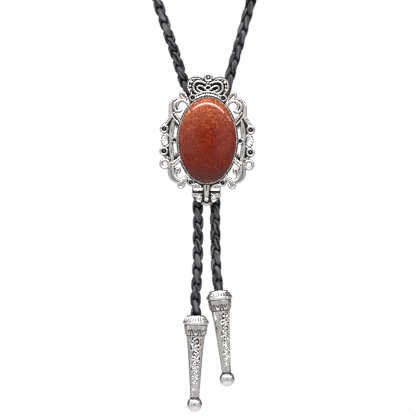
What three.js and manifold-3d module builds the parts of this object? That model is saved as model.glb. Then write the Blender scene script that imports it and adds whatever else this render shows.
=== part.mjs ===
// A bolo tie as it hangs from a neck: a cast silver-coloured slide with an oval stone, a clip behind
// it, one round cord that goes round the neck, and a fluted metal tip on each hanging end.
// Millimetres, +Z up. The wearer faces -Y, and the cord rests on the nape at the origin.
import * as THREE from 'three';
import { mergeVertices } from 'three/addons/utils/BufferGeometryUtils.js';
import Module from 'manifold-3d';

const wasm = await Module();
wasm.setup();

// Where the slide hangs
const slideDrop = 300;
const slideY = -126;
const slideTilt = THREE.MathUtils.degToRad(-0.85);

// The casting, measured from its own recess floor: plus is towards the viewer
const gap = 0.3;
const castBack = -1.2;
const floorTop = 0;
const scrollTop = 1.3;
const crownTop = 1.8;
const edgeBevel = 0.3;
const pointHalf = 0.4;

// The stone and its bezel, as half widths and half heights of ovals
const stoneHalf = { x: 14.2, y: 21.25 };
const stoneHeight = 6.6;
const bezelWall = 0.65;
const bezelTop = 2.3;
const bezelFoot = 0.7;

// The cord and the clip that grips it
const cordRadius = 2.5;
const cordSides = 10;
const cordDepth = -4.9;
const clipCordX = { left: -5.4, right: 4.2 };
const clipHeight = 18;
const clipFront = castBack - gap;
const clipWall = 0.8;

// The tips
const tipBore = { radius: cordRadius + gap, depth: 12 };
const tipBall = { radius: 3.75, z: -44.5 };
const fluteDepth = 0.2;
const petalDrop = 0.8;
const tipSides = 28;
const tips = [
  { name: 'tip_left', x: -5.65, z: -87.7, lean: 0.95 },
  { name: 'tip_right', x: 5.7, z: -75.2, lean: -5.45 },
];

// Booleans
function toSolid(geometry) {
  const bare = (geometry.index ? geometry.toNonIndexed() : geometry.clone());
  bare.deleteAttribute('normal');
  bare.deleteAttribute('uv');
  const merged = mergeVertices(bare, 1e-4);
  return new wasm.Manifold(new wasm.Mesh({
    numProp: 3,
    vertProperties: new Float32Array(merged.attributes.position.array),
    triVerts: new Uint32Array(merged.index.array),
  }));
}

function fromSolid(solid) {
  const mesh = solid.getMesh();
  const geometry = new THREE.BufferGeometry();
  geometry.setAttribute('position', new THREE.BufferAttribute(mesh.vertProperties, 3));
  geometry.setIndex(new THREE.BufferAttribute(mesh.triVerts, 1));
  return geometry;
}

function joined(solids) {
  return solids.reduce((all, next) => all.add(next));
}

// A flat outline made solid from the casting's back up to a height, with its front edge bevelled
function raised(shape, top, { bevel = edgeBevel, from = castBack, segments = 5 } = {}) {
  const geometry = new THREE.ExtrudeGeometry(shape, {
    depth: top - from - bevel,
    bevelEnabled: bevel > 0,
    bevelThickness: bevel,
    bevelSize: bevel,
    bevelOffset: -bevel,
    bevelSegments: 1,
    curveSegments: segments,
  });
  geometry.translate(0, 0, from);
  const solid = toSolid(geometry);
  if (bevel === 0) return solid;
  // The bevel at the back lies below the casting's back, so it is cut off there
  const size = 200;
  const cutter = new THREE.BoxGeometry(size, size, size);
  cutter.translate(0, 0, from - size / 2);
  return solid.subtract(toSolid(cutter));
}

// A bar of metal along a curve in the plane of the casting
function scroll(points, width, top, steps) {
  const half = width / 2;
  const bevel = Math.min(half * 0.6, 0.5);
  const section = new THREE.Shape([
    new THREE.Vector2(-castBack, -half),
    new THREE.Vector2(-castBack, half),
    new THREE.Vector2(-top + bevel, half),
    new THREE.Vector2(-top, half - bevel),
    new THREE.Vector2(-top, bevel - half),
    new THREE.Vector2(-top + bevel, -half),
  ]);
  const path = new THREE.CatmullRomCurve3(points.map(([x, y]) => new THREE.Vector3(x, y, 0)));
  return toSolid(new THREE.ExtrudeGeometry(section, { steps, extrudePath: path }));
}

// A drop with one round end and one point
function drop([cx, cy], [px, py], radius, top, bevel = edgeBevel) {
  const toPoint = Math.atan2(py - cy, px - cx);
  const reach = Math.hypot(px - cx, py - cy);
  const open = Math.acos(radius / reach);
  const blunt = { x: -Math.sin(toPoint) * pointHalf, y: Math.cos(toPoint) * pointHalf };
  const shape = new THREE.Shape();
  shape.moveTo(px + blunt.x, py + blunt.y);
  shape.absarc(cx, cy, radius, toPoint + open, toPoint - open + 2 * Math.PI, false);
  shape.lineTo(px - blunt.x, py - blunt.y);
  shape.closePath();
  return raised(shape, top, { bevel });
}

// A long leaf, pointed at both ends
function spindle([ax, ay], [bx, by], width, top) {
  const across = new THREE.Vector2(-(by - ay), bx - ax).normalize();
  const middle = new THREE.Vector2((ax + bx) / 2, (ay + by) / 2);
  const side = (x, y, half) => [x + across.x * half, y + across.y * half];
  const shape = new THREE.Shape();
  shape.moveTo(...side(ax, ay, -pointHalf));
  shape.quadraticCurveTo(...side(middle.x, middle.y, -width), ...side(bx, by, -pointHalf));
  shape.lineTo(...side(bx, by, pointHalf));
  shape.quadraticCurveTo(...side(middle.x, middle.y, width), ...side(ax, ay, pointHalf));
  shape.closePath();
  return raised(shape, top, { segments: 5 });
}

function disc([x, y], radius, top, hole = 0, sides = 6) {
  const shape = new THREE.Shape();
  shape.absarc(x, y, radius, 0, 2 * Math.PI, false);
  if (hole > 0) {
    const inner = new THREE.Path();
    inner.absarc(x, y, hole, 0, 2 * Math.PI, true);
    shape.holes.push(inner);
  }
  return raised(shape, top, { bevel: 0, segments: sides });
}

function pearl([x, y], radius, z) {
  const ball = new THREE.SphereGeometry(radius, 10, 4);
  ball.rotateX(Math.PI / 2);
  ball.translate(x, y, z);
  return toSolid(ball);
}

function polygon(points, top, bevel = edgeBevel) {
  return raised(new THREE.Shape(points.map(([x, y]) => new THREE.Vector2(x, y))), top, { bevel });
}

function oval(halfX, halfY) {
  const shape = new THREE.Shape();
  shape.absellipse(0, 0, halfX, halfY, 0, 2 * Math.PI, false);
  return shape;
}

// The right half of the casting is the left half mirrored
function mirrored(solid) {
  const geometry = fromSolid(solid);
  geometry.scale(-1, 1, 1);
  const corners = geometry.index.array;
  for (let i = 0; i < corners.length; i += 3) {
    [corners[i], corners[i + 1]] = [corners[i + 1], corners[i]];
  }
  return toSolid(geometry);
}

// Scroll bars of the left half: each row is a curve, its width, its height and its steps
const bars = [
  // the outer bar from the crown's leaf to the upper ring, and the volute inside it
  { width: 1.8, top: scrollTop, steps: 9,
    curve: [[-14.3, 20.4], [-16.6, 19.8], [-18.2, 17.5], [-18.4, 14.5], [-18.5, 12], [-20.1, 9.4],
      [-21.5, 7.2]] },
  { width: 1.5, top: scrollTop + 0.3, steps: 11,
    curve: [[-9.9, 17.9], [-12.4, 20], [-15.1, 19.4], [-16.6, 17.6], [-16.4, 15.3], [-14.9, 14.4],
      [-13.3, 15]] },
  { width: 1, top: scrollTop - 0.3, steps: 5,
    curve: [[-13.9, 19.6], [-15.2, 17.9], [-14.9, 16.1], [-13.6, 14.8]] },
  // the outer bar of the lower scroll, its volute and the volute's curled end
  { width: 1.6, top: scrollTop, steps: 9,
    curve: [[-17.2, -10.4], [-18.3, -13.4], [-18.5, -16.2], [-17.5, -18.7], [-15.8, -20.1], [-13.9, -20.6]] },
  { width: 1.4, top: scrollTop + 0.3, steps: 9,
    curve: [[-17, -12.4], [-17, -15.3], [-16.1, -18.2], [-13.9, -19.8], [-11.4, -19.2], [-9.4, -17.3]] },
  { width: 1, top: scrollTop, steps: 8,
    curve: [[-15.2, -18.8], [-15.5, -16.4], [-15.1, -14.5], [-14.2, -14.1], [-13.6, -15], [-14.1, -16.1]] },
  // the pairs of straight bars that hold the scrolls to the bezel
  { width: 1.2, top: scrollTop, steps: 1, curve: [[-17.4, 13.9], [-13.6, 9.1]] },
  { width: 1.2, top: scrollTop, steps: 1, curve: [[-18.2, 12.9], [-14.6, 8.3]] },
  { width: 1.1, top: scrollTop, steps: 1, curve: [[-13.6, -8.4], [-17.4, -11.8]] },
  { width: 1.1, top: scrollTop, steps: 1, curve: [[-13, -9.5], [-16.8, -12.9]] },
  // the links between the spindles and the bezel, and the small bar on the lower open ring
  { width: 1.3, top: scrollTop - 0.5, steps: 1, curve: [[-15.8, 10], [-15.2, 5.2]] },
  { width: 1.3, top: scrollTop - 0.5, steps: 1, curve: [[-15.5, -5.6], [-16.1, -10.4]] },
  { width: 1.6, top: scrollTop - 0.3, steps: 1, curve: [[-18.6, -10.8], [-21.3, -7.6]] },
];

// The crown's bars: the beaded rim of the lobe, the band inside it, the curl and the two base arcs
const crownBars = [
  { width: 0.9, top: crownTop, steps: 11,
    curve: [[-2.4, 30.9], [-5.1, 31.3], [-7.9, 30.9], [-9.9, 29.1], [-10.4, 26.4], [-9.7, 23.9],
      [-8.4, 22.8]] },
  { width: 0.8, top: crownTop + 0.3, steps: 10,
    curve: [[-1.4, 28.2], [-4.1, 29.1], [-6.3, 28.5], [-7.3, 26.2], [-6.4, 24.2], [-4.6, 23.2]] },
  { width: 0.7, top: crownTop, steps: 7,
    curve: [[-1.3, 25.2], [-2.6, 26.9], [-3.9, 27.2], [-5.2, 26.2], [-4.9, 24.8], [-2.9, 24.1]] },
  { width: 0.7, top: crownTop, steps: 4, curve: [[-7, 22], [-3.8, 23.8], [0.2, 24.5]] },
  { width: 0.7, top: crownTop, steps: 4, curve: [[-6.6, 20.9], [-3.5, 22.4], [0.2, 23]] },
];

// Cast pearls in the channel of the crown's lobe
const pearls = [
  { at: [-4.3, 30.2], radius: 0.5 },
  { at: [-6.4, 29.9], radius: 0.5 },
  { at: [-8.2, 28.8], radius: 0.7 },
  { at: [-8.9, 27.1], radius: 0.6 },
  { at: [-8.7, 25.3], radius: 0.6 },
  { at: [-7.8, 24.1], radius: 0.45 },
];

// Round settings with a dark blind hole, and the open ring lowest on each side
const rings = [
  { at: [-7.6, 21.2], outer: 1.7, hole: 1.05, through: false },
  { at: [-21.6, 5.6], outer: 2.15, hole: 1.15, through: false },
  { at: [-21.6, -5.6], outer: 2.15, hole: 1.15, through: false },
  { at: [-16.4, 0], outer: 1.5, hole: 0.9, through: false },
  { at: [-7.9, -21], outer: 1.7, hole: 1.05, through: false },
  { at: [-21, -11.8], outer: 2.65, hole: 1.35, through: true },
];

const drops = [
  { round: [-12.6, 22.8], point: [-8.3, 17.8], radius: 1.7, top: scrollTop + 0.5 },
  { round: [-12.8, -22.3], point: [-9, -17.9], radius: 1.75, top: scrollTop + 0.5 },
];

const spindles = [
  { from: [-17.1, 10.2], to: [-18.6, -0.2], width: 2.5 },
  { from: [-18.5, -0.6], to: [-17.1, -10.9], width: 2.4 },
];

// The fan shell between the two side rings
const fan = { hub: [-18.2, 0], reach: 4.9, ribs: 4, spread: 50, ribRadius: 0.78 };

// Floors that close the metal behind the relief
const floors = [
  // behind the spindles and the side rings
  [[-17.4, 10.5], [-19.2, 10.4], [-21.2, 7.2], [-20.6, 4], [-19, 2.4], [-19, -2.4], [-20.6, -4],
    [-20.6, -7], [-17.6, -9.6], [-17, -6], [-17, 6]],
  // behind the fan
  [[-18.6, -2.6], [-23, -2.6], [-23.5, -1], [-23.5, 1], [-23, 2.6], [-18.6, 2.6]],
  // behind the lower and the upper scroll
  [[-19.2, -9.4], [-16.4, -9.8], [-17, -13], [-17.4, -17.6], [-18.2, -15]],
  [[-18.2, 17], [-16.6, 18.4], [-16, 14], [-17, 13], [-18, 12.4]],
];

const bow = {
  upper: [[-7.1, -25.2], [-7.2, -23.2], [-5.4, -21.4], [-4, -21.6], [-2.2, -22.9], [-2, -25.2]],
  wing: [[-8, -26.5], [-7.6, -27.8], [-6.2, -28.4], [-4.2, -27.9], [-1.7, -27.1], [-1.7, -26.4]],
  tail: [[-5.9, -28.9], [-2.2, -27.5], [-1.8, -29], [-2.8, -30.3], [-4, -31.3]],
  foot: [[-3.4, -31.4], [-1.8, -30.6], [0, -31.4], [1.8, -30.6], [3.4, -31.4], [1.8, -32.6], [0, -33],
    [-1.8, -32.6]],
  floor: [[-6.6, -22.6], [-7, -27], [-5, -29.4], [-3.4, -31.4], [3.4, -31.4], [5, -29.4], [7, -27],
    [6.6, -22.6], [0, -20]],
  ball: { at: [0, -29.3], radius: 1.4 },
};

function leftHalf() {
  const solids = [...bars, ...crownBars].map((b) => scroll(b.curve, b.width, b.top, b.steps));
  for (const p of pearls) solids.push(pearl(p.at, p.radius, floorTop + p.radius * 0.7));
  for (const r of rings) {
    solids.push(disc(r.at, r.outer, scrollTop + 0.2, r.hole));
    if (!r.through) solids.push(disc(r.at, (r.outer + r.hole) / 2, floorTop - 0.4));
  }
  for (const d of drops) solids.push(drop(d.round, d.point, d.radius, d.top));
  for (const s of spindles) solids.push(spindle(s.from, s.to, s.width, scrollTop));
  for (let i = 0; i < fan.ribs; i += 1) {
    const turn = THREE.MathUtils.degToRad(180 + fan.spread * (i / (fan.ribs - 1) - 0.5));
    const end = [fan.hub[0] + fan.reach * Math.cos(turn), fan.hub[1] + fan.reach * Math.sin(turn)];
    solids.push(drop(end, fan.hub, fan.ribRadius, scrollTop, 0.2));
  }
  for (const f of floors) solids.push(polygon(f, floorTop, 0));
  solids.push(disc([-5.9, 27.2], 4.4, floorTop, 0, 6));
  solids.push(polygon(bow.upper, scrollTop));
  solids.push(polygon(bow.wing, scrollTop));
  solids.push(polygon(bow.tail, scrollTop));
  return joined(solids);
}

// The casting: mirrored halves, the oval seat with its bezel, the crown's middle and the bow's knot
function slidePlate() {
  const left = leftHalf();
  const inner = { x: stoneHalf.x + gap, y: stoneHalf.y + gap };
  const wall = oval(inner.x + bezelWall, inner.y + bezelWall);
  wall.holes.push(oval(inner.x, inner.y));
  const seat = oval(inner.x + bezelWall + bezelFoot, inner.y + bezelWall + bezelFoot);
  const solids = [
    left,
    mirrored(left),
    raised(seat, floorTop, { bevel: 0, segments: 14 }),
    raised(wall, bezelTop, { bevel: 0, segments: 14 }),
    polygon([[-7.6, 20], [-6.6, 22.6], [-2.4, 30.4], [2.4, 30.4], [6.6, 22.6], [7.6, 20]], floorTop, 0),
    disc([0, 31.4], 2.5, crownTop, 1.2),
    disc([0, 31.4], 1.8, floorTop),
    pearl([0, 31.4], 0.6, floorTop + 0.5),
    disc([0, 26.4], 1.5, crownTop, 0.9),
    pearl([0, 28.4], 0.75, floorTop + 1),
    polygon(bow.floor, floorTop, 0),
    polygon(bow.foot, scrollTop - 0.3),
    polygon([[-1.3, -22.6], [-1.3, -26], [1.3, -26], [1.3, -22.6]], scrollTop + 0.7),
    polygon([[-1, -25.8], [-1, -28.4], [1, -28.4], [1, -25.8]], scrollTop + 0.3),
    pearl(bow.ball.at, bow.ball.radius, floorTop + 0.7),
  ];
  return joined(solids);
}

// The stone: an oval cabochon with a flat base and a round top
function stone() {
  const base = floorTop + gap;
  const shoulder = 1.5;
  const rise = stoneHeight - shoulder;
  const profile = [new THREE.Vector2(0, base), new THREE.Vector2(stoneHalf.x, base)];
  for (const angle of [0, 14, 28, 42, 56, 70, 80]) {
    const turn = THREE.MathUtils.degToRad(angle);
    profile.push(new THREE.Vector2(stoneHalf.x * Math.cos(turn), shoulder + rise * Math.sin(turn)));
  }
  profile.push(new THREE.Vector2(0, stoneHeight));
  const dome = new THREE.LatheGeometry(profile, 44);
  dome.rotateX(Math.PI / 2);
  dome.scale(1, stoneHalf.y / stoneHalf.x, 1);
  return dome;
}

// The clip: two round channels side by side on a flat plate, standing upright behind the casting
function backClip() {
  const bore = cordRadius + gap;
  const outer = bore + clipWall;
  const front = -clipFront;
  const centre = -cordDepth;
  const plan = new THREE.Shape();
  plan.moveTo(clipCordX.left - outer, front);
  plan.lineTo(clipCordX.right + outer, front);
  plan.lineTo(clipCordX.right + outer, centre);
  plan.absarc(clipCordX.right, centre, outer, 0, Math.PI * 0.5, false);
  plan.lineTo(clipCordX.left, centre + outer);
  plan.absarc(clipCordX.left, centre, outer, Math.PI * 0.5, Math.PI, false);
  plan.closePath();
  for (const x of [clipCordX.left, clipCordX.right]) {
    const channel = new THREE.Path();
    channel.absarc(x, centre, bore, 0, 2 * Math.PI, true);
    plan.holes.push(channel);
  }
  const geometry = new THREE.ExtrudeGeometry(plan, {
    depth: clipHeight,
    bevelEnabled: false,
    curveSegments: 8,
  });
  geometry.translate(0, slideY, -slideDrop - clipHeight / 2);
  return geometry;
}

// The cord's route, listed by hand: x, y, and z above the middle of the slide
const cordY = slideY - cordDepth;
const neckRoute = [
  [clipCordX.left, cordY, 0.15], [clipCordX.left, cordY, 10], [-7, cordY, 18.5], [-10.2, cordY, 26],
  [-12.5, cordY, 32], [-14.3, cordY, 38], [-25.2, -120, 70.3], [-35, -118, 99.5], [-45, -113.5, 129],
  [-53, -106, 156], [-58.5, -95, 184], [-61, -80, 213], [-61, -61, 240], [-57, -40, 264],
  [-47, -20, 283], [-28, -5.5, 295.5], [0, 0, 300], [28, -5.5, 295.5], [47, -20, 283],
  [57, -40, 264], [61, -60, 241.5], [60.5, -78, 216], [56.5, -93, 190], [49.5, -105, 163],
  [40.5, -113.5, 134], [31, -118, 102], [22, -120, 70.3], [12.2, cordY, 35.5], [9.2, cordY, 25.3],
  [6, cordY, 17.5], [clipCordX.right, cordY, 9.5], [clipCordX.right, cordY, 0.15],
];
const tailLeftRoute = [
  [clipCordX.left, cordY, -0.15], [clipCordX.left, cordY, -10], [-5, cordY, -20],
  [-4.8, cordY, -32], [-4.6, cordY, -40], [-4.7, cordY, -50], [-4.75, cordY, -58],
  [-5, cordY, -65], [-5.4, cordY, -72], [-5.9, cordY, -78], [-5.8, cordY, -83],
  [-5.65, cordY, -87.7], [-5.84, cordY, -99.4],
];
const tailRightRoute = [
  [clipCordX.right, cordY, -0.15], [clipCordX.right, cordY, -10], [4.1, cordY, -20],
  [4, cordY, -32], [3.9, cordY, -37], [4.05, cordY, -47], [4.25, cordY, -58], [4.5, cordY, -65],
  [4.95, cordY, -69], [5.5, cordY, -73], [5.7, cordY, -75.2], [6.81, cordY, -86.85],
];

function cord(route, steps) {
  const section = new THREE.Shape();
  for (let i = 0; i < cordSides; i += 1) {
    const turn = (i / cordSides) * 2 * Math.PI;
    const corner = [cordRadius * Math.cos(turn), cordRadius * Math.sin(turn)];
    if (i === 0) section.moveTo(...corner);
    else section.lineTo(...corner);
  }
  section.closePath();
  const points = route.map(([x, y, z]) => new THREE.Vector3(x, y, z - slideDrop));
  const path = new THREE.CatmullRomCurve3(points);
  return new THREE.ExtrudeGeometry(section, { steps, extrudePath: path });
}

// A tip: a bored cone with a fluted collar, a zigzag skirt of petals and a ball at its end
function tip() {
  const profile = [
    [0, -tipBore.depth], [tipBore.radius, -tipBore.depth], [tipBore.radius, 0], [4.4, 0],
    [4.9, -0.9], [6.1, -2.5], [6.5, -3.3], [6.3, -4.1], [5.8, -4.6], [5.9, -5.2], [5.3, -8.9],
    [5.1, -9.4], [4.5, -9.5], [4.2, -13], [3.8, -17], [3.4, -22], [3, -27], [2.7, -33], [2.35, -38],
    [2.25, -41.2],
  ];
  for (const angle of [40, 20, 0, -22, -45, -68]) {
    const turn = THREE.MathUtils.degToRad(angle);
    profile.push([tipBall.radius * Math.cos(turn), tipBall.z + tipBall.radius * Math.sin(turn)]);
  }
  profile.push([0, tipBall.z - tipBall.radius]);
  const outline = profile.map(([r, z]) => new THREE.Vector2(r, z)).reverse();
  const geometry = new THREE.LatheGeometry(outline, tipSides);
  const place = geometry.attributes.position;
  for (let i = 0; i < place.count; i += 1) {
    const [x, y, z] = [place.getX(i), place.getY(i), place.getZ(i)];
    const radius = Math.hypot(x, z);
    const side = Math.round((Math.atan2(x, z) / (2 * Math.PI)) * tipSides);
    const proud = side % 2 === 0;
    if (y < -0.5 && y > -4.3 && radius > tipBore.radius + 1) {
      const scale = (radius + (proud ? fluteDepth : -fluteDepth)) / radius;
      place.setXYZ(i, x * scale, y, z * scale);
    }
    if (y < -8.5 && y > -9.45 && !proud) place.setY(i, y + petalDrop);
  }
  geometry.rotateX(Math.PI / 2);
  return geometry;
}

// Materials
const metal = () => new THREE.MeshStandardMaterial({ color: 0xc4c0bd, roughness: 0.3, metalness: 1 });
const plainSteel = () => new THREE.MeshStandardMaterial({ color: 0xb5b7ba, roughness: 0.4, metalness: 1 });
const glassStone = () => new THREE.MeshStandardMaterial({ color: 0x9a3a1c, roughness: 0.12, metalness: 0.2 });
const leather = () => new THREE.MeshStandardMaterial({ color: 0x262527, roughness: 0.6, metalness: 0 });

function named(name, geometry, material) {
  const mesh = new THREE.Mesh(geometry, material);
  mesh.name = name;
  return mesh;
}

// Assembly
const boloTie = new THREE.Group();

const slideStands = new THREE.Group();
slideStands.position.set(0, slideY, -slideDrop);
slideStands.rotation.x = Math.PI / 2;
const slideTilts = new THREE.Group();
slideTilts.rotation.z = slideTilt;
slideTilts.add(named('slide_plate', fromSolid(slidePlate()), metal()));
slideTilts.add(named('stone', stone(), glassStone()));
slideStands.add(slideTilts);
boloTie.add(slideStands);

boloTie.add(named('back_clip', backClip(), plainSteel()));
boloTie.add(named('neck_cord', cord(neckRoute, 62), leather()));
boloTie.add(named('tail_left', cord(tailLeftRoute, 9), leather()));
boloTie.add(named('tail_right', cord(tailRightRoute, 8), leather()));

for (const t of tips) {
  const mesh = named(t.name, tip(), metal());
  mesh.position.set(t.x, cordY, t.z - slideDrop);
  mesh.rotation.y = THREE.MathUtils.degToRad(t.lean);
  boloTie.add(mesh);
}

export default boloTie;
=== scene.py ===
# Bolo tie: braided leather cord, cast antique-silver slide with a goldstone cabochon, two fluted tips.
# Metres, +Z up, the wearer faces -Y. The slide and the tips are modelled lying flat in millimetres,
# then set in their place, so a length in their dictionaries is the real one in millimetres.
import math

import bpy
import numpy as np
from mathutils import Matrix, Vector


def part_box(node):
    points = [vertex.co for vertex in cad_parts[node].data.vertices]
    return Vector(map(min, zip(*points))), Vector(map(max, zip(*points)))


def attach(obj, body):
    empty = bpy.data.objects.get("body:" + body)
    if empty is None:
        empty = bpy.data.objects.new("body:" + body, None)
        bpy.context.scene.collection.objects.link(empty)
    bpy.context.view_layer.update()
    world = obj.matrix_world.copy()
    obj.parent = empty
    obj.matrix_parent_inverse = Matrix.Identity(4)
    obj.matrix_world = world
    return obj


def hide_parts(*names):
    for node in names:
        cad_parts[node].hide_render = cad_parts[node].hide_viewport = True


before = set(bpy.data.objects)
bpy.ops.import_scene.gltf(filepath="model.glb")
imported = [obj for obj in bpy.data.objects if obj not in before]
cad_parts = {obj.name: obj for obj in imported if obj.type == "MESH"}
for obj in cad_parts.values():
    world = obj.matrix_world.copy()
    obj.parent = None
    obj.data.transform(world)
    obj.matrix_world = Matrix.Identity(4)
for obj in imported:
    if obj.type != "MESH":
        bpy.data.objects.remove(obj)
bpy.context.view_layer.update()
scene = bpy.context.scene
mm = 0.001


# Adding, picking, joining and placing

def added(operator, **settings):
    # all else is deselected first, because an operator acts on everything that is selected
    bpy.ops.object.select_all(action="DESELECT")
    operator(**settings)
    return bpy.context.object


def pickOnly(*things):
    bpy.ops.object.select_all(action="DESELECT")
    for thing in things:
        thing.select_set(True)
    bpy.context.view_layer.objects.active = things[0]


def joined(parts, name):
    pickOnly(*parts)
    if len(parts) > 1:
        bpy.ops.object.join()
    whole = bpy.context.object
    whole.name = whole.data.name = name
    return whole


def applyModifier(thing, kind, **settings):
    pickOnly(thing)
    bpy.ops.object.modifier_add(type=kind)
    modifier = thing.modifiers[-1]
    for setting, value in settings.items():
        setattr(modifier, setting, value)
    bpy.ops.object.modifier_apply(modifier=modifier.name)


def closeAndTurnOut(thing, distance=0.001):
    pickOnly(thing)
    bpy.ops.object.mode_set(mode="EDIT")
    bpy.ops.mesh.select_all(action="SELECT")
    bpy.ops.mesh.remove_doubles(threshold=distance)
    bpy.ops.mesh.normals_make_consistent(inside=False)
    bpy.ops.object.mode_set(mode="OBJECT")


def triangles(thing):
    return sum(len(face.vertices) - 2 for face in thing.data.polygons)


def vertexRows(thing, what):
    rows = np.empty(len(thing.data.vertices) * 3, np.float32)
    thing.data.vertices.foreach_get(what, rows)
    return rows.reshape(-1, 3)


def setAttribute(mesh, name, values):
    mesh.attributes.new(name, "FLOAT", "POINT").data.foreach_set("value", values.astype(np.float32))


def smoothStep(low, high, value):
    t = np.clip((value - low) / (high - low), 0, 1)
    return t * t * (3 - 2 * t)


def toLinear(hexColour):
    parts = [int(hexColour[i:i + 2], 16) / 255 for i in (1, 3, 5)]
    return [c / 12.92 if c <= 0.04045 else ((c + 0.055) / 1.055) ** 2.4 for c in parts] + [1]


# Camera: a long lens level with the slide, so the tie is seen square on

camera = {
    "middle": (0.35 * mm, -333.7 * mm), "planeY": -126 * mm,
    "field": 208 * mm,  # what the picture takes in at that plane
    "lens": 200,
}


def makeCamera():
    eye = added(bpy.ops.object.camera_add)
    eye.data.lens = camera["lens"]
    reach = camera["field"] / 2 / (eye.data.sensor_width / 2 / camera["lens"])
    x, z = camera["middle"]
    eye.location = (x, camera["planeY"] - reach, z)
    eye.rotation_euler = (math.radians(90), 0, 0)
    eye.data.clip_start = 0.01
    eye.data.clip_end = 20
    scene.camera = eye


# Light: a white studio, one long strip that draws the arc on the stone, soft boxes at the sides

lights = [
    # the long strip and the two short ones are the arc and the dashes on the stone
    {"name": "strip", "at": (0.03, -0.65, 0.30), "along": (1, 0, -0.13), "size": (1.3, 0.105),
     "radiance": 22},
    {"name": "left_strip", "at": (-0.75, -0.13, 0.27), "along": (0, 1, 0), "size": (0.7, 0.06),
     "radiance": 14},
    {"name": "right_strip", "at": (0.85, -0.40, 0.13), "along": (0.16, 0.31, -0.13), "size": (0.36, 0.06),
     "radiance": 14},
    {"name": "top", "at": (-0.25, -0.75, 0.75), "along": (1, 0, 0), "size": (1.0, 0.8), "radiance": 1.5},
    {"name": "left", "at": (-1.0, -0.25, -0.15), "along": (0, 1, 0), "size": (0.5, 1.0), "radiance": 0.7},
    {"name": "right", "at": (1.1, -0.25, -0.25), "along": (0, 1, 0), "size": (0.35, 1.0), "radiance": 0.45},
]
studio = {
    "floorZ": -0.95, "floorRadius": 4.0, "floor": "#f3f2f0", "floorGlow": 0.16, "backdrop": "#ffffff",
    # brightness of the room from behind the tie (0) round to behind the camera (1)
    "room": [(0.0, 0.2), (0.5, 0.1), (0.62, 0.28), (0.78, 0.85), (0.95, 0.9), (0.985, 0.45), (1.0, 0.2)],
}


def makeLights():
    aim = Vector((0, camera["planeY"], camera["middle"][1] + 0.05))
    for light in lights:
        lamp = added(bpy.ops.object.light_add, type="AREA", location=light["at"])
        lamp.name = light["name"] + "_light"
        lamp.data.shape = "RECTANGLE"
        lamp.data.size, lamp.data.size_y = light["size"]
        lamp.data.energy = light["radiance"] * math.pi * light["size"][0] * light["size"][1]
        back = (lamp.location - aim).normalized()
        long = Vector(light["along"])
        long = (long - back * long.dot(back)).normalized()
        lamp.rotation_euler = Matrix((long, back.cross(long), back)).transposed().to_euler()
    world = bpy.data.worlds.new("studio")
    world.use_nodes = True
    tree = world.node_tree
    direction = addNode(tree, "SeparateXYZ", None,
                        {"Vector": addNode(tree, "TexCoord").outputs["Generated"]})
    forward = addNode(tree, "MapRange", {"From Min": 1.0, "From Max": -1.0},
                      {"Value": direction.outputs["Y"]})
    room = addNode(tree, "ValToRGB",
                   {"stops": [(place, (level, level, level * 1.02, 1)) for place, level in studio["room"]]},
                   {"Fac": forward.outputs["Result"]})
    sky = tree.nodes["Background"]
    feed(tree, sky, {"Color": room.outputs["Color"]})
    backdrop = addNode(tree, "Background", {"Color": toLinear(studio["backdrop"])})
    seen = addNode(tree, "LightPath").outputs["Is Camera Ray"]
    both = addNode(tree, "MixShader", None,
                   {0: seen, 1: sky.outputs["Background"], 2: backdrop.outputs["Background"]})
    feed(tree, tree.nodes["World Output"], {"Surface": both.outputs["Shader"]})
    scene.world = world
    scene.view_settings.view_transform = "Standard"


def makeStage():
    floor = added(bpy.ops.mesh.primitive_circle_add, vertices=96, radius=studio["floorRadius"],
                  fill_type="NGON", location=(0, 0, studio["floorZ"]))
    floor.name = floor.data.name = "pale_floor"
    bpy.ops.object.transform_apply()
    floor.data.materials.append(lightTable())


# Materials

def feed(tree, node, links):
    for socket, source in links.items():
        tree.links.new(source, node.inputs[socket])


def addNode(tree, kind, settings=None, links=None):
    node = tree.nodes.new("ShaderNode" + kind)
    for key, value in (settings or {}).items():
        if key == "stops":
            elements = node.color_ramp.elements
            for i, (place, colour) in enumerate(value):
                element = elements[i] if i < 2 else elements.new(place)
                element.position, element.color = place, colour
        elif isinstance(key, int) or key in node.inputs:
            node.inputs[key].default_value = value
        else:
            setattr(node, key, value)
    feed(tree, node, links or {})
    return node


def newMaterial(name):
    material = bpy.data.materials.new(name)
    material.use_nodes = True
    return material, material.node_tree, material.node_tree.nodes["Principled BSDF"]


def lightTable():
    # a lit sheet of white acrylic, as under a product on a light table
    material, tree, shader = newMaterial("white_acrylic_table")
    shader.inputs["Emission Color"].default_value = toLinear(studio["floor"])
    shader.inputs["Emission Strength"].default_value = studio["floorGlow"]
    shader.inputs["Base Color"].default_value = toLinear(studio["floor"])
    shader.inputs["Roughness"].default_value = 0.9
    return material


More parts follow.
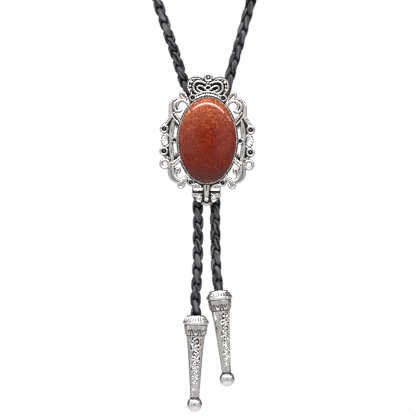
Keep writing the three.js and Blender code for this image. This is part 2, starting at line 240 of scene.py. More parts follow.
def braidedLeather():
    # bonded leather lace, dyed through and lightly waxed: a soft broken shine, fine creases along each lace,
    # and painted shade: black where a lace passes under the next and along each lace's edges
    material, tree, shader = newMaterial("black_bonded_leather")
    coordinates = addNode(tree, "TexCoord")
    creaseMap = addNode(tree, "Mapping", {"Scale": (10, 75, 1)},
                        {"Vector": coordinates.outputs["UV"]})
    creases = addNode(tree, "TexNoise", {"Scale": 1.0, "Detail": 3, "Roughness": 0.6},
                      {"Vector": creaseMap.outputs["Vector"]})
    grain = addNode(tree, "TexNoise", {"Scale": 1400, "Detail": 2},
                    {"Vector": coordinates.outputs["Object"]})
    tone = addNode(tree, "ValToRGB",
                   {"stops": [(0.4, toLinear("#060607")), (0.68, toLinear("#78777d"))]},
                   {"Fac": creases.outputs["Fac"]})
    # painted shade: this attribute is 0 where a lace dips under the next and at its edges, which are painted
    # black
    outOfShade = addNode(tree, "Attribute", {"attribute_name": "outOfShade"}).outputs["Fac"]
    shadedLeather = addNode(tree, "Mix", {"data_type": "RGBA"}, {"Factor": outOfShade})
    shadedLeather.inputs["A"].default_value = toLinear("#030303")
    feed(tree, shadedLeather, {"B": tone.outputs["Color"]})
    height = addNode(tree, "Math", {"operation": "ADD"},
                     {0: creases.outputs["Fac"], 1: grain.outputs["Fac"]})
    bump = addNode(tree, "Bump", {"Strength": 0.35, "Distance": 0.00012},
                   {"Height": height.outputs["Value"]})
    rough = addNode(tree, "MapRange", {"To Min": 0.95, "To Max": 0.45}, {"Value": outOfShade})
    feed(tree, shader, {"Base Color": shadedLeather.outputs["Result"], "Normal": bump.outputs["Normal"],
                        "Roughness": rough.outputs["Result"]})
    shader.inputs["Specular IOR Level"].default_value = 0.15
    return material


# Cords: four flat laces round each other, two turning each way, each over one and under the next

braid = {
    "pitch": 15.4,      # one full turn of a lace
    "middle": 1.55,     # how far a lace's middle lies from the cord's, between over and under
    "swing": 0.6,       # what it gains on top and loses underneath
    "dwell": (0.5336, 0.0664),  # a lace runs nearly straight where it lies on top
    "pinch": 0.2,       # and is squeezed narrower where it passes under
    "laceHalf": (1.85, 0.55),
    "laceBend": 2.5,    # a lace bends round the cord at this radius
    "squareness": 0.8,  # 1 is an oval lace, less is a flatter one
    "coreHalf": 1.5,    # the plain core cord the laces are braided round
    "coreSides": 8,
    # painted shade: a lace is painted black where it sinks towards the core to pass under the next, and
    # darker towards its edges, in the gaps between laces
    "shade": (1.85, 2.25),  # the leather is black below the first radius, full toned above the second
    "rim": 0.3,         # and darker over this share of a lace's half width, towards its edge
    "diameter": 5,
}
cordY = -121.1
neckRoute = [
    (-5.4, cordY, 0.15), (-5.4, cordY, 10), (-7, cordY, 18.5), (-10.2, cordY, 26), (-12.5, cordY, 32),
    (-14.3, cordY, 38), (-25.2, -120, 70.3), (-35, -118, 99.5), (-45, -113.5, 129), (-53, -106, 156),
    (-58.5, -95, 184), (-61, -80, 213), (-61, -61, 240), (-57, -40, 264), (-47, -20, 283),
    (-28, -5.5, 295.5), (0, 0, 300), (28, -5.5, 295.5), (47, -20, 283), (57, -40, 264),
    (61, -60, 241.5), (60.5, -78, 216), (56.5, -93, 190), (49.5, -105, 163), (40.5, -113.5, 134),
    (31, -118, 102), (22, -120, 70.3), (12.2, cordY, 35.5), (9.2, cordY, 25.3), (6, cordY, 17.5),
    (4.2, cordY, 9.5), (4.2, cordY, 0.15),
]
tailLeftRoute = [(x, cordY, z) for x, z in [
    (-5.4, -0.15), (-5.4, -10), (-5, -20), (-4.8, -32), (-4.6, -40), (-4.7, -50), (-4.75, -58), (-5, -65),
    (-5.4, -72), (-5.9, -78), (-5.8, -83), (-5.65, -87.7), (-5.84, -99.4)]]
tailRightRoute = [(x, cordY, z) for x, z in [
    (4.2, -0.15), (4.2, -10), (4.1, -20), (4, -32), (3.9, -37), (4.05, -47), (4.25, -58), (4.5, -65),
    (4.95, -69), (5.5, -73), (5.7, -75.2), (6.81, -86.85)]]
slideZ = -300
cords = {
    # step along the cord, sides of a lace, twist at the two ends, height where a lace lies on top in front
    "neck_cord": {"route": neckRoute, "step": 0.5, "sides": 10, "turn": (0, -30), "overAt": 48.4},
    "tail_left": {"route": tailLeftRoute, "step": 0.35, "sides": 12, "turn": (0, 0), "overAt": -44.9},
    "tail_right": {"route": tailRightRoute, "step": 0.35, "sides": 12, "turn": (-25, -25),
                   "overAt": -48.2},
}


def smoothLine(route, step):
    # a centripetal curve through the route's points, then even steps along it, in millimetres
    points = np.array([(x, y, z + slideZ) for x, y, z in route], float)
    ends = np.vstack([2 * points[0] - points[1], points, 2 * points[-1] - points[-2]])
    fine = []
    for a, b, c, d in zip(ends, ends[1:], ends[2:], ends[3:]):
        t1 = np.linalg.norm(b - a) ** 0.5
        t2 = t1 + np.linalg.norm(c - b) ** 0.5
        t3 = t2 + np.linalg.norm(d - c) ** 0.5
        for t in np.linspace(t1, t2, 24, endpoint=False):
            ab, bc = a + (b - a) * t / t1, b + (c - b) * (t - t1) / (t2 - t1)
            cd = c + (d - c) * (t - t2) / (t3 - t2)
            abc = ab + (bc - ab) * t / t2
            bcd = bc + (cd - bc) * (t - t1) / (t3 - t1)
            fine.append(abc + (bcd - abc) * (t - t1) / (t2 - t1))
    fine = np.array(fine + [points[-1]])
    along = np.concatenate([[0], np.cumsum(np.linalg.norm(np.diff(fine, axis=0), axis=1))])
    places = np.linspace(0, along[-1], int(round(along[-1] / step)) + 1)
    return np.column_stack([np.interp(places, along, fine[:, k]) for k in range(3)]), places


def unit(rows):
    return rows / np.linalg.norm(rows, axis=1)[:, None]


def sideways(line):
    # a front direction carried along the line without twisting, starting towards the viewer
    tangents = unit(np.gradient(line, axis=0))
    front = np.array([0.0, -1.0, 0.0])
    fronts = []
    for tangent in tangents:
        front = front - tangent * (front @ tangent)
        front /= np.linalg.norm(front)
        fronts.append(front)
    fronts = np.array(fronts)
    return fronts, np.cross(tangents, fronts)


def laceSection(count):
    # across the lace and outwards from the cord, for each corner of its section
    halfWide, halfThick = braid["laceHalf"]
    corners = np.linspace(0, 2 * math.pi, count, endpoint=False)
    across, outward = (half * np.sign(wave) * np.abs(wave) ** braid["squareness"]
                       for half, wave in ((halfWide, np.cos(corners)), (halfThick, np.sin(corners))))
    return across, outward - across ** 2 / (2 * braid["laceBend"])


def lacePoints(line, fronts, sides, phase, twist, direction, offset, section):
    # one lace's corners, a row for each step along the cord
    first, second = braid["dwell"]
    turn = direction * (phase + offset - direction * first * np.sin(2 * phase) + second * np.sin(4 * phase))
    height = braid["middle"] + braid["swing"] * direction * np.cos(2 * turn)
    spread = 1 - braid["pinch"] * (1 - direction * np.cos(2 * phase)) / 2
    around = twist - turn
    out = np.cos(around)[:, None] * fronts + np.sin(around)[:, None] * sides
    lace = line + height[:, None] * out
    heading = unit(np.gradient(lace, axis=0))
    out = unit(out - heading * np.sum(out * heading, axis=1)[:, None])
    level = np.cross(heading, out)
    across, outward = section
    return (lace[:, None] + (across * spread[:, None])[..., None] * level[:, None]
            + outward[None, :, None] * out[:, None])


def tubeFaces(first, rings, count, places=None):
    # quads from ring to ring and a cap at each end, with UVs round the tube and along the cord
    faces, uvs = [], []
    for i in range(rings - 1):
        for k in range(count):
            a, b = first + i * count + k, first + i * count + (k + 1) % count
            faces.append((a, b, b + count, a + count))
            if places is None:
                uvs.append([(0.5, 0.0)] * 4)
            else:
                left, right = k / count, (k + 1) / count
                near, far = places[i] * mm, places[i + 1] * mm
                uvs.append([(left, near), (right, near), (right, far), (left, far)])
    faces.append(tuple(first + k for k in reversed(range(count))))
    faces.append(tuple(first + (rings - 1) * count + k for k in range(count)))
    return faces, uvs + [[(0.5, 0.0)] * count] * 2


def makeBraid(name, settings):
    line, places = smoothLine(settings["route"], settings["step"])
    fronts, sides = sideways(line)
    overIndex = int(np.argmin(np.abs(line[:, 2] - slideZ - settings["overAt"])[:len(line) // 2]))
    phase = 2 * math.pi / braid["pitch"] * (places - places[overIndex])
    twist = np.radians(np.interp(places, [0, places[-1]], settings["turn"]))
    count = settings["sides"]
    section = laceSection(count)
    tubes = []
    for direction, offset in ((1, 0), (1, math.pi), (-1, 0), (-1, math.pi)):
        tubes.append(lacePoints(line, fronts, sides, phase, twist, direction, offset, section))
    # painted shade, from how far each corner lies from the cord's middle and how near it is to its lace's
    # edge
    low, high = braid["shade"]
    fromMiddle = np.concatenate([np.linalg.norm(tube - line[:, None], axis=2).ravel() for tube in tubes])
    edge = np.tile(np.abs(section[0]) / braid["laceHalf"][0], 4 * len(line))
    outOfShade = np.clip((fromMiddle - low) / (high - low), 0, 1) * np.clip((1 - edge) / braid["rim"], 0, 1)
    corners = np.linspace(0, 2 * math.pi, braid["coreSides"], endpoint=False)[None, :, None]
    tubes.append(line[::3, None] + braid["coreHalf"] * (np.cos(corners) * fronts[::3, None]
                                                        + np.sin(corners) * sides[::3, None]))
    vertices, faces, uvs = [], [], []
    for i, tube in enumerate(tubes):
        someFaces, someUvs = tubeFaces(len(vertices), tube.shape[0], tube.shape[1],
                                       places if i < 4 else None)
        vertices += (tube.reshape(-1, 3) * mm).tolist()
        faces += someFaces
        uvs += someUvs
    mesh = bpy.data.meshes.new(name + "_braid")
    mesh.from_pydata(vertices, [], faces)
    along = mesh.uv_layers.new(name="along")
    along.data.foreach_set("uv", np.concatenate(uvs).astype(np.float32).ravel())
    # the core cord gets 0 all over, so it is painted black, as shade in the gaps
    setAttribute(mesh, "outOfShade", np.concatenate([outOfShade, np.zeros(len(vertices) - len(outOfShade))]))
    braided = bpy.data.objects.new(name + "_braid", mesh)
    scene.collection.objects.link(braided)
    closeAndTurnOut(braided, 1e-7)
    bpy.ops.object.shade_smooth()
    print(name, "braided,", round(places[-1]), "mm,", triangles(braided), "triangles")
    return braided, line, places[-1]


def makeCords():
    leather = braidedLeather()
    for name, tip in (("neck_cord", None), ("tail_left", "tip_left"), ("tail_right", "tip_right")):
        braided, line, length = makeBraid(name, cords[name])
        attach(braided, "root")
        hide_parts(name)
        braided.data.materials.append(leather)


# Cast silver: bars, plates, rings and beads laid on one back face, then fused as one pour

casting = {
    "back": -1.2,       # the back face of every part
    "draft": 0.2,       # how far a bar's foot spreads on each side
    "round": 0.6,       # the most that a bar's edges are rounded down
    "grain": 0.15, "smoothing": 2, "keep": 0.45,
}
# the seat lies just behind the stone, and the whole casting leans a little, in degrees
slide = {"gap": 0.3, "lean": -0.85}
stoneLow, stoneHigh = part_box("stone")
stoneBack = (stoneLow + stoneHigh) / 2
stoneBack.y = stoneHigh.y
slidePlace = (Matrix.Translation(stoneBack + Vector((0, slide["gap"] * mm, 0)))
              @ Matrix.Rotation(math.radians(90), 4, "X")
              @ Matrix.Rotation(math.radians(slide["lean"]), 4, "Z") @ Matrix.Scale(mm, 4))


def silverBar(points, width, top, ridge=0.0, ends=(1, 1), closed=False, sharp=False):
    # a bar along a curve, its flanks sloped for the mould: round on top, or with a groove between two ridges
    base = casting["back"]
    half, height = width / 2, top - base
    rise = min(half, casting["round"])
    profile = [(-half - casting["draft"], 0)]
    for angle in np.linspace(-90, 90, 11):
        t = math.sin(math.radians(angle))
        groove = ridge * max(0, math.cos(math.pi * t))
        profile.append((half * t, height - rise * (1 - math.sqrt(1 - t ** 2)) - groove))
    profile.append((half + casting["draft"], 0))
    section = bpy.data.curves.new("section", "CURVE")
    outline = section.splines.new("POLY")
    outline.points.add(len(profile) - 1)
    for point, (x, y) in zip(outline.points, profile):
        point.co = (x, y, 0, 1)
    outline.use_cyclic_u = True
    sectionHolder = bpy.data.objects.new("section", section)
    scene.collection.objects.link(sectionHolder)
    bar = added(bpy.ops.curve.primitive_bezier_curve_add)
    route = bar.data.splines[0]
    route.bezier_points.add(len(points) - 2)
    for i, (point, (x, y)) in enumerate(zip(route.bezier_points, points)):
        point.handle_left_type = point.handle_right_type = "VECTOR" if sharp else "AUTO"
        point.co = (x, y, base)
        point.radius = ends[0] + (ends[1] - ends[0]) * i / (len(points) - 1)
    route.use_cyclic_u = closed
    route.resolution_u = 1 if sharp else 8
    bar.data.twist_mode = "Z_UP"
    bar.data.bevel_mode = "OBJECT"
    bar.data.bevel_object = sectionHolder
    bar.data.use_fill_caps = not closed
    bpy.ops.object.convert(target="MESH")
    bpy.data.objects.remove(sectionHolder)
    return bar


def silverPlate(points, top):
    # a flat piece of that outline, from the back face up to its top
    base = casting["back"]
    plate = added(bpy.ops.curve.primitive_bezier_curve_add)
    plate.data.dimensions = "2D"
    outline = plate.data.splines[0]
    outline.bezier_points.add(len(points) - 2)
    for point, (x, y) in zip(outline.bezier_points, points):
        point.handle_left_type = point.handle_right_type = "VECTOR"
        point.co = (x, y, 0)
    outline.use_cyclic_u = True
    outline.resolution_u = 1
    plate.data.fill_mode = "BOTH"
    plate.data.extrude = (top - base) / 2
    bpy.ops.object.convert(target="MESH")
    plate.location.z = (top + base) / 2
    bpy.ops.object.transform_apply()
    return plate


def silverDisc(at, radius, top):
    base = casting["back"]
    disc = added(bpy.ops.mesh.primitive_cylinder_add, vertices=40, radius=radius, depth=top - base,
                 location=(at[0], at[1], (top + base) / 2))
    bpy.ops.object.transform_apply()
    return disc


def silverRing(at, outer, hole, top, stretch=1.0):
    # a round rim that stands on the back face
    count = 28
    middle = (outer + hole) / 2
    points = [(at[0] + stretch * middle * math.cos(2 * math.pi * i / count),
               at[1] + middle * math.sin(2 * math.pi * i / count)) for i in range(count)]
    return silverBar(points, outer - hole, top, closed=True)


def silverBead(at, radius, level, flat=1.0):
    bead = added(bpy.ops.mesh.primitive_uv_sphere_add, segments=16, ring_count=10, radius=radius,
                 location=(at[0], at[1], level))
    bead.scale.z = flat
    bpy.ops.object.transform_apply()
    return bead


def silverBars(rows):
    return [silverBar(row["curve"], row["width"], row["top"], row.get("ridge", 0), row.get("ends", (1, 1)))
            for row in rows]


def silverSetting(row):
    # a ring, with a blind floor and a small pip in it where the row has them
    parts = [silverRing(row["at"], row["outer"], row["hole"], row["top"], row.get("stretch", 1))]
    if "floor" in row:
        parts.append(silverDisc(row["at"], *row["floor"]))
    if "pip" in row:
        parts.append(silverBead(row["at"], *row["pip"]))
    return parts


def silverDrop(row):
    # a drop-shaped leaf with a raised rim round a sunk face
    middle, point = Vector(row["round"]), Vector(row["point"])
    radius = row["radius"] - row["rim"] / 2
    toPoint = math.atan2(point.y - middle.y, point.x - middle.x)
    opening = math.acos(radius / (point - middle).length)
    turns = np.linspace(toPoint + opening, toPoint - opening + 2 * math.pi, 15)
    outline = [(middle.x + radius * math.cos(a), middle.y + radius * math.sin(a)) for a in turns]
    outline.append(tuple(point))
    return [silverBar(outline, row["rim"], row["top"], closed=True, sharp=True),
            silverPlate(outline, row["top"] - row["sunk"])]


def alongCurve(points, pitch, inset=0.0):
    # even places along a smooth line through the points, moved to its right by the inset
    fine = []
    ends = [points[0]] + list(points) + [points[-1]]
    for a, b, c, d in zip(ends, ends[1:], ends[2:], ends[3:]):
        for t in np.linspace(0, 1, 20, endpoint=False):
            fine.append([((2 * b[k]) + (c[k] - a[k]) * t + (2 * a[k] - 5 * b[k] + 4 * c[k] - d[k]) * t ** 2
                          + (3 * b[k] - a[k] - 3 * c[k] + d[k]) * t ** 3) / 2 for k in (0, 1)])
    fine = np.array(fine + [list(points[-1])])
    along = np.concatenate([[0], np.cumsum(np.linalg.norm(np.diff(fine, axis=0), axis=1))])
    heading = np.gradient(fine, axis=0)
    heading /= np.linalg.norm(heading, axis=1)[:, None]
    moved = fine + inset * np.column_stack([heading[:, 1], -heading[:, 0]])
    places = np.linspace(0, along[-1], max(2, int(round(along[-1] / pitch)) + 1))
    return [(np.interp(x, along, moved[:, 0]), np.interp(x, along, moved[:, 1])) for x in places]


def fused(parts, name):
    whole = joined(parts, name)
    closeAndTurnOut(whole)
    whole.data.remesh_voxel_size = casting["grain"]
    bpy.ops.object.voxel_remesh()
    applyModifier(whole, "SMOOTH", factor=0.5, iterations=casting["smoothing"])
    applyModifier(whole, "DECIMATE", ratio=casting["keep"])
    return whole


def mirrorCopy(thing, name):
    pickOnly(thing)
    bpy.ops.object.duplicate()
    copy = bpy.context.object
    copy.name = copy.data.name = name
    copy.scale.x = -1
    bpy.ops.object.transform_apply(scale=True)
    closeAndTurnOut(copy, 1e-5)
    return copy


# Patina: the black that stays where a cloth can't reach, from how far a place lies below what is round it,
# and painted shade on the lower outer sides

patinaAndShade = {
    "cell": 0.15, "reach": 0.75,
    "from": 0.22, "full": 0.75,     # black starts this far down, and is full there
    # painted shade: how dark the outer sides are painted, up to this height over the back face, where they
    # face forward this little
    "flank": 0.15, "flankHeight": 0.25, "flankFacing": 0.3,
}


def sunkBelow(places):
    # for each vertex, the highest front surface within reach less its own height
    cell, reach = patinaAndShade["cell"], patinaAndShade["reach"]
    low = places[:, :2].min(0) - 2 * reach
    size = np.ceil((places[:, :2].max(0) + 2 * reach - low) / cell).astype(int) + 1
    ceiling = np.full(size, -9.0)
    column = ((places[:, :2] - low) / cell).astype(int)
    np.maximum.at(ceiling, (column[:, 0], column[:, 1]), places[:, 2])
    steps = int(reach / cell)
    spread = ceiling.copy()
    for dx in range(-steps, steps + 1):
        for dy in range(-steps, steps + 1):
            if dx * dx + dy * dy <= steps * steps:
                spread = np.maximum(spread, np.roll(ceiling, (dx, dy), (0, 1)))
    return spread[column[:, 0], column[:, 1]] - places[:, 2]


def ageAndShade(thing, least=0.0):
    places, normals = vertexRows(thing, "co"), vertexRows(thing, "normal")
    dark = smoothStep(patinaAndShade["from"], patinaAndShade["full"], sunkBelow(places))
    onFlank = places[:, 2] < casting["back"] + patinaAndShade["flankHeight"]
    # painted shade: the lower outer sides that face sideways get one set grey in place of the patina
    dark[onFlank & (normals[:, 2] < patinaAndShade["flankFacing"])] = patinaAndShade["flank"]
    setAttribute(thing.data, "patinaAndShade", np.maximum(dark, least))


def finishCast(thing, place):
    thing.data.transform(place)
    pickOnly(thing)
    bpy.ops.object.shade_smooth()
    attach(thing, "root")
    thing.data.materials.clear()
    thing.data.materials.append(silver)
    print(thing.name, triangles(thing), "triangles")


def antiqueSilver():
    # silver-plated zinc casting, blackened and rubbed back: bright ridges, black recesses, a cast skin; the
    # dark attribute also holds painted shade and, on the tips, a painted shadow and a painted dark
    # reflection
    material, tree, shader = newMaterial("antiqued_silver_plate")
    place = addNode(tree, "TexCoord").outputs["Object"]
    black = addNode(tree, "Attribute", {"attribute_name": "patinaAndShade"}).outputs["Fac"]
    cloud = addNode(tree, "TexNoise", {"Scale": 900, "Detail": 3, "Roughness": 0.6},
                    {"Vector": place})
    uneven = addNode(tree, "Math", {"operation": "MULTIPLY_ADD", 1: 0.5, 2: -0.25},
                     {0: cloud.outputs["Fac"]})
    oxideAndShade = addNode(tree, "Math", {"operation": "ADD", "use_clamp": True},
                   {0: black, 1: uneven.outputs["Value"]}).outputs["Value"]
    tone = addNode(tree, "ValToRGB",
                   {"stops": [(0.1, toLinear("#e2dedb")), (0.45, toLinear("#7b7674")),
                              (0.9, toLinear("#0d0b0a"))]}, {"Fac": oxideAndShade})
    rough = addNode(tree, "MapRange", {"To Min": 0.2, "To Max": 0.62}, {"Value": oxideAndShade})
    bright = addNode(tree, "MapRange", {"To Min": 1.0, "To Max": 0.55}, {"Value": oxideAndShade})
    skin = addNode(tree, "Bump", {"Strength": 0.25, "Distance": 0.00005},
                   {"Height": cloud.outputs["Fac"]})
    feed(tree, shader, {"Base Color": tone.outputs["Color"], "Roughness": rough.outputs["Result"],
                        "Metallic": bright.outputs["Result"], "Normal": skin.outputs["Normal"]})
    return material


# The open scrollwork of one side, traced from the left half

sideBars = [
    # the outer bar from the crown's leaf to the upper ring, and the volute inside it
    {"width": 1.95, "top": 1.3, "ridge": 0.3,
     "curve": [(-14.3, 20.4), (-16.6, 19.8), (-18.2, 17.5), (-18.4, 14.5), (-18.5, 12), (-20.1, 9.4),
               (-21.5, 7.2)]},
    {"width": 1.35, "top": 1.7,
     "curve": [(-9.2, 17.1), (-10.6, 19), (-12.8, 20), (-15.1, 19.4), (-16.6, 17.6), (-16.4, 15.3),
               (-14.9, 14.4), (-13.5, 14.9)]},
    {"width": 1.05, "top": 1.4, "curve": [(-13.9, 19.6), (-15.2, 17.9), (-14.9, 16.1), (-13.6, 14.8)]},
    # the outer bar of the lower scroll, its volute and the volute's curled end
    {"width": 1.7, "top": 1.3, "ridge": 0.2,
     "curve": [(-17.2, -10.4), (-18.3, -13.4), (-18.5, -16.2), (-17.5, -18.7), (-15.8, -20.1),
               (-13.9, -20.6)]},
    {"width": 1.4, "top": 1.7,
     "curve": [(-17, -12.4), (-17, -15.3), (-16.1, -18.2), (-13.9, -19.8), (-11.4, -19.2), (-9.4, -17.3)]},
    {"width": 1.05, "top": 1.5,
     "curve": [(-15.2, -18.8), (-15.5, -16.4), (-15.1, -14.5), (-14.2, -14.1), (-13.6, -15),
               (-14.1, -16.1)]},
    # the pairs of straight bars that hold the scrolls to the bezel
    {"width": 1.0, "top": 1.5, "curve": [(-17.2, 14.1), (-15.3, 11.7), (-13.1, 8.8)]},
    {"width": 0.95, "top": 1.3, "curve": [(-18, 12.7), (-16.4, 10.4), (-14.2, 7.9)]},
    {"width": 1.0, "top": 1.5, "curve": [(-13.1, -8.1), (-15.3, -10), (-17.4, -11.8)]},
    {"width": 0.95, "top": 1.4, "curve": [(-12.6, -9.3), (-14.9, -11.3), (-16.8, -13)]},
    # the small bar on the lower open ring
    {"width": 1.3, "top": 1.1, "ridge": 0.25, "curve": [(-18.6, -10.6), (-21.3, -7.4)]},
]
sideFloors = [
    # behind the spindles and the side rings
    {"top": 0.25,
     "outline": [(-17.4, 10.5), (-19.2, 10.4), (-21.2, 7.2), (-20.6, 4), (-19, 2.4), (-19, -2.4),
                 (-20.6, -4), (-20.6, -7), (-17.6, -9.6), (-17, -6), (-17, 6)]},
    # under the fan
    {"top": 0.45,
     "outline": [(-18.4, -1), (-21.5, -3.6), (-22.8, -2), (-23.2, 0), (-22.8, 2), (-21.5, 3.6),
                 (-18.4, 1)]},
    # between the outer bars and the volutes
    {"top": 0.25, "outline": [(-19.2, -9.4), (-16.4, -9.8), (-17, -13), (-17.4, -17.6), (-18.2, -15)]},
    {"top": 0.25, "outline": [(-18.2, 17), (-16.6, 18.4), (-16, 14), (-17, 13), (-18, 12.4)]},
    # inside the volutes
    {"top": 0.25,
     "outline": [(-13.4, 20), (-16.4, 18.2), (-16.4, 15.2), (-14.5, 14.2), (-13.4, 14.9),
                 (-14.8, 16.4), (-15, 18), (-13.4, 19.4)]},
    {"top": 0.25,
     "outline": [(-16.8, -13.6), (-17, -17), (-15.2, -19.4), (-14.6, -18.6), (-15.2, -16.4),
                 (-14.8, -14.2)]},
    # between the straight bars
    {"top": 0.25, "outline": [(-17.6, 13.6), (-13.6, 9), (-14.4, 8.1), (-18.2, 12.8)]},
    {"top": 0.25, "outline": [(-13, -8.4), (-17.2, -12), (-16.8, -12.8), (-12.8, -9.2)]},
    # the lower links between the spindles and the bezel
    {"top": 0.55, "outline": [(-16.5, 9.6), (-14, 8.2), (-14.6, 5.8), (-15.8, 6)]},
    {"top": 0.55, "outline": [(-15.8, -6), (-14.6, -5.8), (-14, -8.1), (-16.4, -9.8)]},
]
# the settings: an outer and an inner radius, a blind floor's radius and height, a pip's radius and height
setting = {"outer": 2.1, "hole": 1.2, "top": 1.5, "floor": (1.65, -0.2), "pip": (0.45, 0.15)}
smallSetting = {**setting, "outer": 1.7, "hole": 1.1, "floor": (1.4, -0.2)}
sideRings = [
    {**setting, "at": (-21.6, 5.6)},
    {**setting, "at": (-21.6, -5.6)},
    {**setting, "at": (-16.4, 0), "outer": 1.5, "hole": 0.95, "floor": (1.225, -0.2)},
    {"at": (-21, -11.8), "outer": 2.6, "hole": 1.35, "top": 1.5},
]
curlEnds = {"at": [(-13.5, 14.9), (-14.1, -16.1)], "radius": [0.78, 0.68], "level": 0.9, "flat": 0.9}
spindles = [
    {"from": (-17.1, 10.2), "to": (-18.6, -0.2), "width": 2.5},
    {"from": (-18.5, -0.6), "to": (-17.1, -10.9), "width": 2.4},
]
# as shares of its width: how far a spindle's ridges swell from its middle, a ridge's width, the core's
spindleShape = {"swell": 0.26, "ridge": 0.4, "core": 0.5, "top": 1.4, "coreTop": 0.85}
fan = {"hub": (-18.3, 0), "reach": (4.6, 4.9), "ribs": 5, "spread": 78, "width": 1.5, "top": 1.35,
       "ends": (0.5, 1), "beadLevel": 0.6}


def spindle(row):
    # two ridges that part and meet again, with a groove between them
    start, end = Vector(row["from"]), Vector(row["to"])
    across = Vector((start.y - end.y, end.x - start.x)).normalized()
    width = row["width"]
    bars = []
    for side in (-1, 1):
        swell = across * side * width * spindleShape["swell"]
        curve = [tuple(start.lerp(end, t) + swell * share)
                 for t, share in ((0, 0), (0.25, 0.75), (0.5, 1), (0.75, 0.75), (1, 0))]
        bars.append(silverBar(curve, width * spindleShape["ridge"], spindleShape["top"]))
    bars.append(silverBar([tuple(start), tuple(end)], width * spindleShape["core"], spindleShape["coreTop"]))
    return bars


def makeSides():
    parts = silverBars(sideBars) + [silverPlate(row["outline"], row["top"]) for row in sideFloors]
    for row in sideRings:
        parts += silverSetting(row)
    for row in spindles:
        parts += spindle(row)
    for at, radius in zip(curlEnds["at"], curlEnds["radius"]):
        parts.append(silverDisc(at, radius, curlEnds["level"]))
        parts.append(silverBead(at, radius, curlEnds["level"], flat=curlEnds["flat"]))
    hub = Vector(fan["hub"])
    for i in range(fan["ribs"]):
        share = 2 * i / (fan["ribs"] - 1) - 1
        turn = math.radians(180 + share * fan["spread"] / 2)
        reach = fan["reach"][1] - abs(share) * (fan["reach"][1] - fan["reach"][0])
        end = hub + (reach - fan["width"] / 2) * Vector((math.cos(turn), math.sin(turn)))
        parts.append(silverBar([tuple(hub), tuple(hub.lerp(end, 0.5)), tuple(end)], fan["width"],
                               fan["top"], ends=fan["ends"]))
        parts.append(silverBead(tuple(end), fan["width"] / 2, fan["beadLevel"]))
    left = fused(parts, "scrollwork_left")
    ageAndShade(left)
    right = mirrorCopy(left, "scrollwork_right")
    for side in (left, right):
        finishCast(side, slidePlace)
        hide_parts("slide_plate")


# The crown over the stone

crownBars = [
    # the smooth outer edge, the broad band inside it and the loop inside that
    {"width": 0.4, "top": 1.15,
     "curve": [(-1.9, 30.4), (-3.2, 31), (-5.1, 31.55), (-7.1, 31.55), (-8.8, 30.8), (-9.85, 29.9),
               (-10.5, 28.3), (-10.6, 26.3), (-9.9, 24.3), (-8.7, 22.9)]},
    {"width": 0.95, "top": 2.2,
     "curve": [(-1.1, 28.6), (-4.1, 29.45), (-6.1, 29.2), (-7.1, 27.8), (-7.35, 26.3), (-6.6, 24.6),
               (-4.8, 23.5)]},
    {"width": 0.8, "top": 2.1,
     "curve": [(-1.1, 25.5), (-2.6, 26.85), (-4.1, 27.35), (-5.3, 26.8), (-5.4, 26), (-4.3, 24.95),
               (-2.6, 24.4)]},
]
crownRim = {
    "bead": 0.36, "pitch": 0.8, "inset": 0.66, "level": 1.3,
    "under": 0.85,      # the bar that the beads sit on
    "channel": 1.75, "channelWidth": 1.7, "channelTop": 1.0, "pearlLevel": 1.0,
}
crownPearls = [
    {"at": (-4.5, 30.45), "radius": 0.5}, {"at": (-5.8, 30.4), "radius": 0.35},
    {"at": (-7, 29.95), "radius": 0.5}, {"at": (-8.3, 29.05), "radius": 0.75},
    {"at": (-8.9, 27.15), "radius": 0.65}, {"at": (-8.7, 25.45), "radius": 0.65},
    {"at": (-7.9, 24.4), "radius": 0.42}, {"at": (-2.7, 29.9), "radius": 0.35},
]
crownFloor = {"top": 0.7,
              "outline": [(-8.7, 22.9), (-9.9, 24.3), (-10.6, 26.3), (-10.5, 28.3), (-9.85, 29.9),
                          (-8.8, 30.8), (-7.1, 31.55), (-5.1, 31.55), (-3.2, 31), (0.1, 30), (0.1, 20),
                          (-7.6, 20)]}
# the band over the stone: two arcs, each its height at the middle and its sag, and the posts between
crownBase = {"upper": (24.45, 0.057), "lower": (22.8, 0.05), "half": 6.4, "width": 0.68, "top": 1.9,
             "posts": (0.6, 1.8, 3.0, 4.2, 5.3), "postWidth": 0.42, "postTop": 1.7}
crownDrop = {"round": (-12.6, 22.8), "point": (-8.6, 18.2), "radius": 1.75, "rim": 1.3, "sunk": 0.55,
             "top": 1.8}
crownMiddle = [
    {"at": (0, 31.5), "outer": 2.1, "hole": 1.2, "top": 1.9, "floor": (1.8, 0.4), "pip": (0.62, 1.1)},
    {"at": (0, 26.3), "outer": 1.35, "hole": 0.85, "top": 2.0, "stretch": 1.25},
    {"at": (0, 28.2), "outer": 0.95, "hole": 0.5, "top": 1.8, "pip": (0.5, 0.9)},
]


def onArc(arc, x):
    return x, arc[0] - arc[1] * x * x


